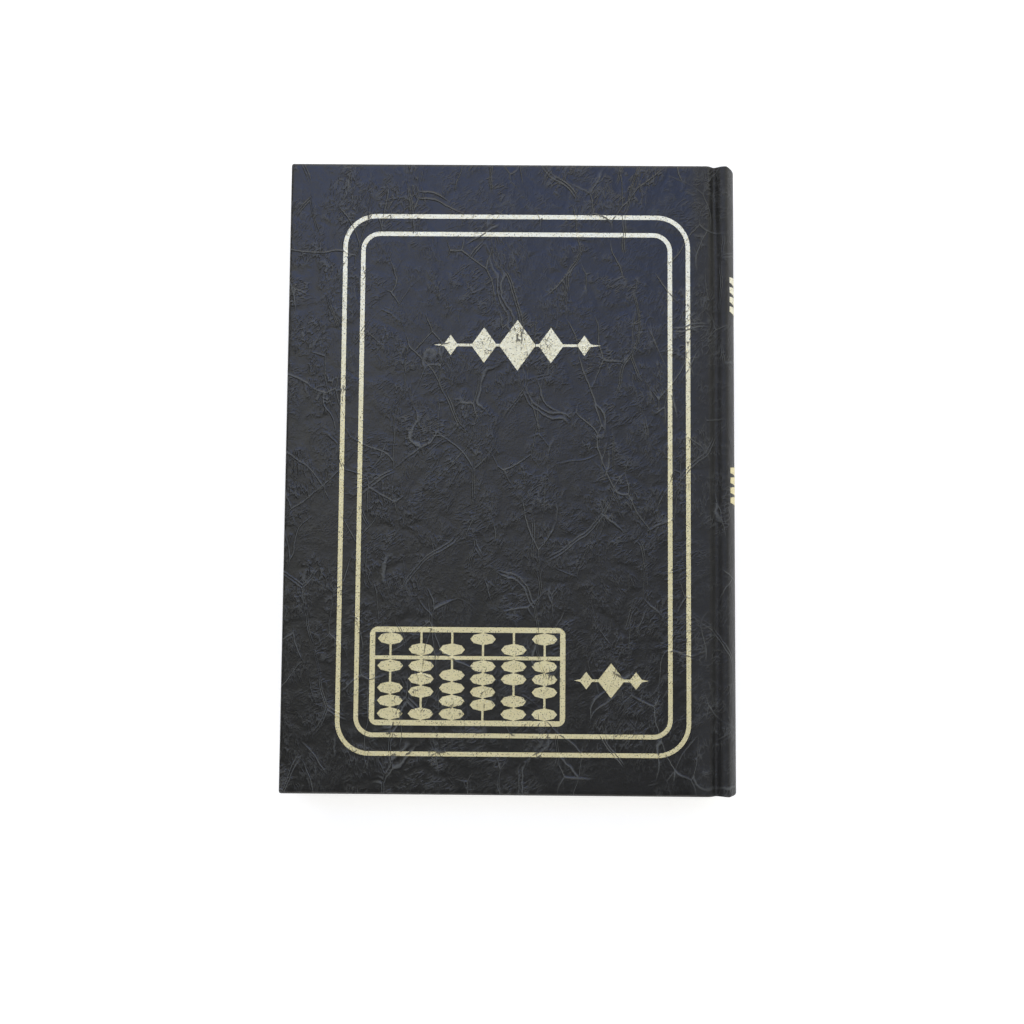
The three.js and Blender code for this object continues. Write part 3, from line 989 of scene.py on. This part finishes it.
    def direction(self, line: np.ndarray) -> np.ndarray:
        """Finds which way a line runs, evened out so that the sheet's inner side doesn't cross itself.

        Args:
            line: points [x, depth]

        Returns:
            A unit vector for each point.
        """
        ahead = np.gradient(line, axis=0)
        ahead = ahead / np.linalg.norm(ahead, axis=1, keepdims=True)
        for _ in range(self.evening):
            ahead[1:-1] = ahead[1:-1] * 0.5 + (ahead[:-2] + ahead[2:]) * 0.25
        return ahead / np.linalg.norm(ahead, axis=1, keepdims=True)

    def build_side(self, side: Side, material: bpy.types.Material) -> bpy.types.Object:
        """Builds the sheet of one cover and its half of the spine.

        Args:
            side: the cover
            material: its material

        Returns:
            The sheet.
        """
        along, soft, tight, wall, flat_x = self.stations()
        half = along[-1]
        turned_in = BOOK.half_height - BOOK.turn_in
        ends = BOOK.half_height - self.edge_radius * np.array(self.end_stops)
        rows = np.concatenate([ends, [*self.turn_in_rows, turned_in]])
        inner = np.linspace(turned_in, -turned_in, self.row_count)[1:-1]
        lengthwise = np.concatenate([rows, inner, -rows[::-1]])
        soft_way, tight_way = self.direction(soft), self.direction(tight)
        pull = smooth_step(soft[:, 0], *self.tuck_from) * (1 - smooth_step(soft[:, 0], *self.tuck_to))
        held = 1 - smooth_step(soft[:, 0], -BOOK.joint, -BOOK.joint + self.board_cover)

        def surface(place: np.ndarray, columns: np.ndarray, depth_share: np.ndarray, y: np.ndarray) -> np.ndarray:
            """Bends a slab into the sheet. At the turned-in ends it stays square until it has covered the board.

            Args:
                place: distance from the fore edge along the slab
                columns: the station of each point
                depth_share: depth as a share of the wall
                y: place lengthwise

            Returns:
                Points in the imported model's frame.
            """
            thick = wall[columns]
            s, t, w = self.rounded(place, y, depth_share * thick, thick)
            pinch = smooth_step(np.abs(t), *self.pinch)
            base = soft[columns] + (tight - soft)[columns] * pinch[..., None]
            way = soft_way[columns] + (tight_way - soft_way)[columns] * pinch[..., None]
            x = base[..., 0] + (s - place) - way[..., 1] * w
            depth = base[..., 1] + way[..., 0] * w
            stiff = held[columns] * smooth_step(np.abs(t), *self.turned_end)
            level = base[..., 1] + w / thick * (BOOK.wall - base[..., 1])
            x = x + (base[..., 0] + (s - place) - x) * stiff
            depth = depth + (level - depth) * stiff
            tuck = self.tuck * pull[columns] * smooth_step(np.abs(t), *self.tuck_rows)
            t = t - np.sign(t) * tuck
            return np.stack([x + BOOK.crest, t, side.height(depth)], -1)

        def unrolled(across: np.ndarray, lengthwise: np.ndarray) -> np.ndarray:
            """Places on the sheet laid flat. The back's half follows on from the front's."""
            flat = across if side is Side.FRONT else 2 * (BOOK.fore + half) - across
            return np.stack([flat + BOOK.crest, lengthwise, np.full(flat.shape, BOOK.thickness)], -1)

        skin = Skin()
        turned = side is Side.BACK
        columns = np.arange(len(along))
        near = int(np.searchsorted(along, BOOK.turn_in + 1e-6))
        for y, chosen, depth in (
            (lengthwise, columns, 0.0),
            (lengthwise, columns[:near + 1], 1.0),
            (rows, columns[near:], 1.0),
            (-rows[::-1], columns[near:], 1.0),
        ):
            yy, cc = np.meshgrid(y, chosen, indexing="ij")
            points = surface(along[cc], cc, np.full(yy.shape, depth), yy)
            rest_x = 2 * BOOK.fore - wall[cc] - flat_x[cc] if depth else flat_x[cc]
            skin.add(points, unrolled(rest_x, yy), turned if depth else not turned)
        dd, cc = np.meshgrid(self.wall_stops, columns, indexing="ij")
        for sign in (1, -1):
            y = np.full(dd.shape, sign * BOOK.half_height)
            rest = unrolled(flat_x[cc], y + sign * dd * wall[cc])
            skin.add(surface(along[cc], cc, dd, y), rest, turned if sign > 0 else not turned)
        yy, dd = np.meshgrid(lengthwise, self.wall_stops, indexing="ij")
        points = surface(np.zeros(yy.shape), np.zeros(yy.shape, int), dd, yy)
        skin.add(points, unrolled(BOOK.fore - dd * wall[0], yy), turned)
        return skin.build(f"{side.value}_leatherette", material, self.cloth)

    def build(self) -> None:
        """Builds both sheets and dresses the boards."""
        leatherette = Leatherette(half_sheet=float(self.stations()[0][-1])).paint("leatherette", Place.REST)
        board = self.board.paint("grey_board")
        for side in Side:
            made = self.build_side(side, leatherette)
            height = metres(float(side.height(0)))
            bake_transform(made)
            nodes = [f"{side.value}_covering"] + (["spine_covering"] if side is Side.FRONT else [])
            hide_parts(*nodes)
            report(made, f"book_block to {side.body}")
        for name in ("front_board", "back_board", "spine_inlay"):
            dress(name, board)


@dataclass
class Stamping:
    """The foil on the front cover and on the spine."""

    nodes: tuple = (
        "foil_border_outer", "foil_border_inner", "foil_title_ornament", "foil_corner_flourish",
        "foil_counting_frame", "foil_spine_upper", "foil_spine_lower",
    )

    def build(self) -> None:
        """Dresses the foil."""
        gold = GoldFoil().paint("gold_foil")
        for name in self.nodes:
            dress(name, gold)


# The leaves


@dataclass
class LeafBlock:
    """The sewn sections, each a nest of folded leaves."""

    folded_sheets: int = 4
    sheet_gap: float = 0.018
    blend_from: float = -2.2
    blend_to: float = -25.0
    uneven: float = 0.11
    turning: int = 5
    seed: int = 17
    flat_stops: int = 5
    bend_stops: int = 26
    fold_stops: int = 9

    def gathering(self) -> Recipe:
        """Makes a node tree that gives folded lines the height and thickness of paper.

        Returns:
            The tree.
        """
        inputs = {"Folded lines": "Geometry", "Leaf height": "Float", "Sheet thickness": "Float", "Paper": "Material"}
        recipe = Recipe("gathering", inputs)
        given = recipe.given
        outline = recipe.node(
            "GeometryNodeCurvePrimitiveQuadrilateral", {"mode": "RECTANGLE"},
            {"Width": given["Leaf height"], "Height": given["Sheet thickness"]},
        )
        lines = recipe.node("GeometryNodeSetCurveNormal", {"mode": "MINIMUM_TWIST"}, {"Curve": given["Folded lines"]})
        swept = recipe.node(
            "GeometryNodeCurveToMesh", {},
            {"Curve": lines.outputs[0], "Profile Curve": outline.outputs[0], "Fill Caps": True},
        )
        real = recipe.node("GeometryNodeRealizeInstances", {}, {0: swept.outputs[0]})
        smooth = recipe.node("GeometryNodeSetShadeSmooth", {}, {"Geometry": real.outputs[0], "Shade Smooth": False})
        place = recipe.node("GeometryNodeInputPosition")
        stored = recipe.node(
            "GeometryNodeStoreNamedAttribute", {"data_type": "FLOAT_VECTOR", "domain": "POINT"},
            {"Geometry": smooth.outputs[0], "Name": REST, "Value": place.outputs[0]},
        )
        values = {"Geometry": stored.outputs[0], "Material": given["Paper"]}
        recipe.close(recipe.node("GeometryNodeSetMaterial", {}, values))
        return recipe

    def folded_lines(self, index: int, dice: np.random.Generator) -> list[np.ndarray]:
        """Finds the folded sheets of a section.

        Args:
            index: the section's number, from 1 at the front
            dice: what makes the leaves' fore edges uneven

        Returns:
            A line [x, z] for each sheet, outermost first.
        """
        bottom = BOOK.block_top + (BOOK.section_count - index) * BOOK.section_pitch
        fold_radius = BOOK.section_thickness / 2
        height = bottom + fold_radius
        centre = BOOK.back_at(height, BOOK.back_radius - fold_radius)
        step = fold_radius / self.folded_sheets
        lines = []
        for sheet in range(self.folded_sheets):
            radius = fold_radius - (sheet + 0.5) * step
            halves = []
            for sign in (-1, 1):
                z = height + sign * radius
                fore = BOOK.back_at(z, BOOK.back_radius) - BOOK.leaf_width + dice.uniform(0.0, self.uneven)
                flat = np.linspace(fore, self.blend_to - 1, self.flat_stops)
                stops = np.concatenate([flat, np.linspace(self.blend_to, centre, self.bend_stops)[:-1]])
                halves.append(np.stack([stops, np.full(len(stops), z)], 1))
            angles = np.linspace(-math.pi / 2, math.pi / 2, self.fold_stops)
            fold = np.stack([centre + radius * np.cos(angles), height + radius * np.sin(angles)], 1)
            lines.append(np.concatenate([halves[0], fold, halves[1][::-1]]))
        return lines

    def build(self) -> None:
        """Builds every section and hangs the ones that don't turn on the block."""
        recipe = self.gathering()
        dice = np.random.default_rng(self.seed)
        values = {
            "Leaf height": metres(2 * BOOK.leaf_half),
            "Sheet thickness": metres(BOOK.section_thickness / 2 / self.folded_sheets - self.sheet_gap),
            "Paper": LedgerPaper().paint("ledger_paper"),
        }
        for index in range(1, BOOK.section_count + 1):
            curve = bpy.data.curves.new("folded", "CURVE")
            curve.dimensions = "3D"
            for line in self.folded_lines(index, dice):
                spline = curve.splines.new("POLY")
                spline.points.add(len(line) - 1)
                for point, (x, z) in zip(spline.points, line):
                    point.co = (metres(x + BOOK.crest), 0, metres(z), 1)
            source = place_in_scene("folded", curve)
            recipe.apply(source, values)
            mesh = settled_mesh(source)
            bpy.data.objects.remove(source)
            name = f"section_{index:02d}"
            mesh.name = f"leaves_of_{name}"
            made = place_in_scene(f"leaves_of_{name}", mesh)
            if index <= self.turning:
                body = f"leaves_{index:02d}"
                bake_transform(made)
            else:
                body = "book_block"
                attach(made, body)
            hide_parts(name)
            report(made, body)


@dataclass
class Endpapers:
    """The pasted and the free half of the endpapers, front and back. Spans are (from, to, count) of points."""

    thickness: float = 0.13
    ease: float = 1.1
    hinge_from: float = -1.2
    hinge_to: float = -9.0
    leaf_from: float = -2.2
    leaf_to: float = -25.0
    over_turn_in: float = 3.25
    over_board: float = 2.78
    over_mull: float = 3.08
    mull_edge: float = -31.7
    turn_in_overlap: float = 0.5
    free_level: float = 3.49
    row_spans: tuple = ((-BOOK.leaf_half, -103.5, 16), (-100, 100, 21), (103.5, BOOK.leaf_half, 16))
    pasted_spans: tuple = (
        (BOOK.leaf_fore, -150.0, 18), (-146, -36, 20), (-34, -29, 8), (-27, -11, 8), (-10.4, -1.2, 24),
    )
    free_spans: tuple = ((BOOK.leaf_fore, -27, 20), (-25, BOOK.shoulder, 26))
    finish: PlainPaper = PlainPaper((0.68, 0.66, 0.61, 1), (0.60, 0.57, 0.51, 1), fibre=1.1, relief=0.012)

    def pasted_depth(self, across: np.ndarray, lengthwise: np.ndarray) -> np.ndarray:
        """Finds how deep the pasted half lies: what is under it shows through.

        Args:
            across: x
            lengthwise: y

        Returns:
            The depth.
        """
        inner = BOOK.fore + BOOK.turn_in + self.turn_in_overlap
        flat = smooth_step(across, inner, inner + self.ease)
        end = BOOK.half_height - BOOK.turn_in - self.turn_in_overlap
        flat = flat * (1 - smooth_step(np.abs(lengthwise), end - self.ease, end))
        mull = smooth_step(across, self.mull_edge - self.ease, self.mull_edge)
        base = self.over_board + (self.over_mull - self.over_board) * mull
        return self.over_turn_in + (base - self.over_turn_in) * flat

    def free_depth(self, across: np.ndarray, lengthwise: np.ndarray) -> np.ndarray:
        """The free half lies flat."""
        return np.full(np.broadcast(across, lengthwise).shape, self.free_level)

    def sheet(self, name: str, side: Side, columns: np.ndarray, rows: np.ndarray,
              depth_at: Callable, material: bpy.types.Material) -> bpy.types.Object:
        """Builds a sheet whose visible face is towards the leaves.

        Args:
            name: its name
            side: the cover that it lies in
            columns: the x of its points
            rows: the y of its points
            depth_at: gives the depth at x and y
            material: its material

        Returns:
            The sheet.
        """
        yy, xx = np.meshgrid(rows, columns, indexing="ij")
        skin = Skin()
        skin.add(np.stack([xx + BOOK.crest, yy, side.height(depth_at(xx, yy))], -1), None, side is Side.FRONT)
        return skin.build(name, material, self.thickness)

    def build(self) -> None:
        """Builds the four halves and hangs the back free half on the block."""
        paper = self.finish.paint("endpaper", Place.REST)
        rows, pasted, free = (spaced(*spans) for spans in (self.row_spans, self.pasted_spans, self.free_spans))
        for side in Side:
            edge = metres(float(side.height(0)))
            made = self.sheet(f"{side.value}_pasted_endpaper", side, pasted, rows, self.pasted_depth, paper)
            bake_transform(made)
            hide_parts(f"{side.value}_pastedown")
            report(made, f"book_block to {side.body}")
            made = self.sheet(f"{side.value}_free_endpaper", side, free, rows[::2], self.free_depth, paper)
            if side is Side.FRONT:
                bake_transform(made)
            else:
                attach(made, "book_block")
            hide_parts(f"{side.value}_flyleaf")
            report(made, "front_endpaper" if side is Side.FRONT else "book_block")


# The back of the block


@dataclass
class BackLinings:
    """Head and tail bands, mull, lining and sewing."""

    bead_y: float = 118.4
    bead_radius: float = 0.72
    bead_points: int = 24
    thread_radius: float = 0.17
    path_radius: float = 12.986
    skirt_radius: float = 13.486
    skirt_from: float = 109.5
    skirt_thickness: float = 0.22
    skirt_rows: int = 5
    skirt_columns: int = 20
    half_angle: float = 0.571
    loops: int = 44
    loop_sides: int = 12
    thread_sides: int = 6
    stripe: int = 4
    stitches: int = 5
    light_thread: Woven = Woven((0.82, 0.78, 0.68, 1), (0.55, 0.50, 0.40, 1), 0.3, 0.03)
    dark_thread: Woven = Woven((0.42, 0.06, 0.05, 1), (0.22, 0.03, 0.03, 1), 0.3, 0.03)
    gauze: Woven = Woven((0.72, 0.68, 0.58, 1), (0.30, 0.27, 0.21, 1), 1.3, 0.12)
    kraft: PlainPaper = PlainPaper((0.46, 0.33, 0.19, 1), (0.33, 0.22, 0.12, 1), fibre=0.9, relief=0.03)
    linen: Woven = Woven((0.80, 0.77, 0.68, 1), (0.48, 0.44, 0.35, 1), 0.35, 0.05)

    def winding(self) -> Recipe:
        """Makes a node tree that winds thread loops round an arc, in two colours by turns.

        Returns:
            The tree.
        """
        recipe = Recipe("wound_band", {
            "Path": "Geometry", "Loops": "Int", "Loop radius": "Float", "Thread radius": "Float", "Stripe": "Int",
            "Light thread": "Material", "Dark thread": "Material",
        })
        given = recipe.given
        path = recipe.node("GeometryNodeMeshToCurve", {}, {0: given["Path"]})
        values = {"Curve": path.outputs[0], "Count": given["Loops"]}
        spots = recipe.node("GeometryNodeCurveToPoints", {"mode": "COUNT"}, values)
        values = {"Resolution": self.loop_sides, "Radius": given["Loop radius"]}
        loop = recipe.node("GeometryNodeCurvePrimitiveCircle", {}, values)
        values = {"Resolution": self.thread_sides, "Radius": given["Thread radius"]}
        thread = recipe.node("GeometryNodeCurvePrimitiveCircle", {}, values)
        values = {"Curve": loop.outputs[0], "Profile Curve": thread.outputs[0]}
        ring = recipe.node("GeometryNodeCurveToMesh", {}, values)
        index = recipe.node("GeometryNodeInputIndex")
        by_stripe = recipe.node("ShaderNodeMath", {"operation": "DIVIDE"}, {0: index.outputs[0], 1: given["Stripe"]})
        floor = recipe.node("ShaderNodeMath", {"operation": "FLOOR"}, {0: by_stripe.outputs[0]})
        odd = recipe.node("ShaderNodeMath", {"operation": "MODULO"}, {0: floor.outputs[0], 1: 2.0})
        placed = []
        for key, wanted in (("Light thread", 0.0), ("Dark thread", 1.0)):
            settings = {"operation": "EQUAL", "data_type": "FLOAT"}
            chosen = recipe.node("FunctionNodeCompare", settings, {0: odd.outputs[0], 1: wanted})
            values = {"Geometry": ring.outputs[0], "Material": given[key]}
            dyed = recipe.node("GeometryNodeSetMaterial", {}, values)
            placed.append(recipe.node(
                "GeometryNodeInstanceOnPoints", {},
                {"Points": spots.outputs["Points"], "Selection": chosen.outputs[0], "Instance": dyed.outputs[0],
                 "Rotation": spots.outputs["Rotation"]},
            ))
        joined = recipe.node("GeometryNodeJoinGeometry")
        for each in placed:
            recipe.tree.links.new(each.outputs[0], joined.inputs[0])
        real = recipe.node("GeometryNodeRealizeInstances", {}, {0: joined.outputs[0]})
        recipe.close(recipe.node("GeometryNodeSetShadeSmooth", {}, {"Geometry": real.outputs[0]}))
        return recipe

    def arc(self, radius: float, y: float, count: int) -> np.ndarray:
        """Finds points along the curve of the block's back.

        Args:
            radius: how far they are from the spine's centre line
            y: where the curve lies lengthwise
            count: how many there are

        Returns:
            The points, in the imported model's frame.
        """
        angles = np.linspace(-self.half_angle, self.half_angle, count)
        x = BOOK.crest + BOOK.spine_centre + radius * np.cos(angles)
        z = BOOK.middle + radius * np.sin(angles)
        return np.stack([x, np.full(count, y), z], 1)

    def band(self, end: int, recipe: Recipe, threads: Sequence[bpy.types.Material]) -> bpy.types.Object:
        """Builds the band at one end: its wound bead and the skirt that is glued to the leaves.

        Args:
            end: 1 for the head, -1 for the tail
            recipe: the tree that winds the bead
            threads: the light and the dark thread's material

        Returns:
            The band.
        """
        path = self.arc(self.path_radius, end * self.bead_y, self.bead_points) / 1000
        mesh = bpy.data.meshes.new("band_path")
        mesh.from_pydata(path.tolist(), [(i, i + 1) for i in range(len(path) - 1)], [])
        made = place_in_scene("head_band_wound" if end > 0 else "tail_band_wound", mesh)
        recipe.apply(made, {
            "Loops": self.loops, "Loop radius": metres(self.bead_radius - self.thread_radius),
            "Thread radius": metres(self.thread_radius), "Stripe": self.stripe,
            "Light thread": threads[0], "Dark thread": threads[1],
        })
        bake(made)
        skirt = Skin()
        rows = np.linspace(self.skirt_from, self.bead_y, self.skirt_rows)
        points = np.stack([self.arc(self.skirt_radius, end * y, self.skirt_columns) for y in rows])
        skirt.add(points, None, end > 0)
        join(made, skirt.build("band_skirt", threads[0], self.skirt_thickness))
        return made

    def build(self) -> None:
        """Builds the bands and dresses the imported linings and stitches."""
        threads = (self.light_thread.paint("band_light_thread"), self.dark_thread.paint("band_dark_thread"))
        recipe = self.winding()
        for end, node in ((1, "head_band"), (-1, "tail_band")):
            made = self.band(end, recipe, threads)
            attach(made, "book_block")
            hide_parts(node)
            report(made, "book_block")
        gauze = self.gauze.paint("mull_cloth")
        kraft = self.kraft.paint("lining_paper")
        linen = self.linen.paint("linen_thread")
        for name in ("spine_mull", "front_mull_flap", "back_mull_flap"):
            dress(name, gauze)
        dress("spine_lining", kraft)
        for index in range(1, self.stitches + 1):
            dress(f"stitch_{index}", linen)


# The studio


@dataclass
class Studio:
    """The floor, the light and the camera. The floor lies low enough for the back cover to open above it.

    The sky's pairs are where a part of it begins and is full, or is full and ends, in the direction that is looked in.
    """

    floor_height: float = -4.6
    floor_half: float = 8000.0
    floor_light: tuple = (0.55, 0.55, 0.55, 1)
    floor_dark: tuple = (0.52, 0.52, 0.52, 1)
    floor_glow: float = 0.66
    lens: float = 42.19
    sensor: float = 36
    clip: tuple = (0.01, 20)
    eye: tuple = (2.921, -46.17, 475.99)
    turn: tuple = (0.0699797, 0.0054746, 0.0078712)
    room: tuple = (0.16, 0.16, 0.16, 1)
    window_white: tuple = (2.20, 2.18, 1.88, 1)
    window_blue: tuple = (0.60, 1.18, 3.45, 1)
    strip: tuple = (2.00, 1.95, 1.85, 1)
    horizon: tuple = (1.15, 1.15, 1.15, 1)
    strength: float = 1.0
    window_ahead: tuple = (-0.12, 0.2)
    window_left: tuple = (-0.62, -0.34)
    window_right: tuple = (0.72, 0.95)
    dip_begins: tuple = (-0.1, 0.28)
    dip_ends: tuple = (0.3, 0.5)
    dip: float = 0.66
    dip_back: float = 0.44
    blue_slant: float = 0.3
    blue_begins: tuple = (0.16, 0.38)
    blue_ends: tuple = (0.45, 0.6)
    blue_across: tuple = (0.3, 0.6)
    strip_from: tuple = (0.6, 0.74)
    horizon_to: tuple = (0.10, 0.26)

    def sky(self) -> bpy.types.World:
        """Makes the light: a wide soft window over the head of the ledger, and low strips at head and tail.

        The window is bluer in its middle, a little ahead of straight up, and weaker to the right of that.

        Returns:
            The world.
        """
        world = bpy.data.worlds.new("studio")
        world.use_nodes = True
        graph = Graph(world.node_tree)
        graph.tree.nodes.clear()
        across, ahead, up = graph.parts(graph.term("ShaderNodeTexCoord", {}, {}, "Generated"))
        blue = (ahead + across * self.blue_slant).step(*self.blue_begins) * ahead.fall(*self.blue_ends)
        blue = blue * across.size().fall(*self.blue_across)
        light = graph.mix(blue, self.window_white, self.window_blue)
        window = ahead.step(*self.window_ahead) * across.step(*self.window_left) * across.fall(*self.window_right)
        dip = 1 - across.step(*self.dip_begins) * self.dip + across.step(*self.dip_ends) * self.dip_back
        colour = graph.mix(window * dip, self.room, light)
        colour = graph.mix(ahead.size().step(*self.strip_from), colour, self.strip)
        colour = graph.mix(up.fall(*self.horizon_to), colour, self.horizon)
        shade = graph.node("ShaderNodeBackground", {}, {"Color": colour, "Strength": self.strength})
        graph.node("ShaderNodeOutputWorld", {}, {"Surface": shade.outputs[0]})
        return world

    def build(self) -> None:
        """Sets up everything round the ledger."""
        scene = bpy.context.scene
        scene.view_settings.view_transform = "Standard"
        scene.world = self.sky()
        paint = Paint("floor")
        colour = paint.mix(paint.noise(paint.point, 40, 3), self.floor_dark, self.floor_light)
        paint.set(Base_Color=colour, Roughness=0.9, Specular_IOR_Level=0.1, Emission_Color=(1, 1, 1, 1),
                  Emission_Strength=self.floor_glow)
        skin = Skin()
        span = np.linspace(-self.floor_half, self.floor_half, 3)
        yy, xx = np.meshgrid(span, span, indexing="ij")
        skin.add(np.stack([xx, yy, np.full(xx.shape, self.floor_height)], -1))
        skin.build("floor", paint.material)
        camera = bpy.data.cameras.new("camera")
        camera.lens = self.lens
        camera.sensor_width = self.sensor
        camera.clip_start, camera.clip_end = self.clip
        scene.camera = place_in_scene("camera", camera)
        scene.camera.location = [metres(value) for value in self.eye]
        scene.camera.rotation_euler = Euler(self.turn, "XYZ")


def main() -> None:
    """Builds the ledger and its studio."""
    logging.basicConfig(level=logging.INFO, format="%(name)s: %(message)s")
    for part in (Case(), Stamping(), LeafBlock(), Endpapers(), BackLinings(), Studio()):
        part.build()


if __name__ == "__main__":
    main()
